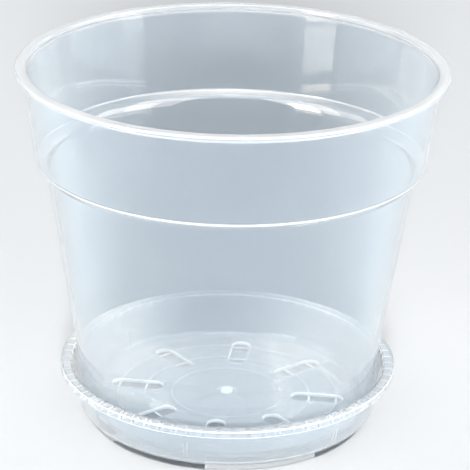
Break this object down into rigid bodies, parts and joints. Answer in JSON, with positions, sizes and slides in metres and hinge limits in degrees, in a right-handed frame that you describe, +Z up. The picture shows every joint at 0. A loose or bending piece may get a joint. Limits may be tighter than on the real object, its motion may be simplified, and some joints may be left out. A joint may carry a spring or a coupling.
{
  "type": "orchid pot",
  "caption": "Clear tapered orchid pot with a stepped collar, flanged rim and slotted floor, standing in a ribbed-rim drip saucer that it lifts out of.",
  "frame": {"origin": "on the axis of the pot, at the level of the surface that the saucer's feet stand on", "axes": "+Z up along the axis of the pot; +X along one of the drain slots"},
  "size_m": [0.15, 0.15, 0.1308],
  "materials": {
    "pot_plastic": "clear, slightly milky moulded polypropylene with a soft gloss",
    "saucer_plastic": "clear, slightly milky moulded polypropylene with a soft gloss"
  },
  "bodies": {
    "saucer": {"saucer": "saucer_plastic"},
    "pot": {"pot": "pot_plastic"}
  },
  "joints": [
    {"name": "pot_lift", "type": "slide", "parent": "saucer", "child": "pot", "axis": [0, 0, 1], "range_m": [0, 0.04]}
  ]
}
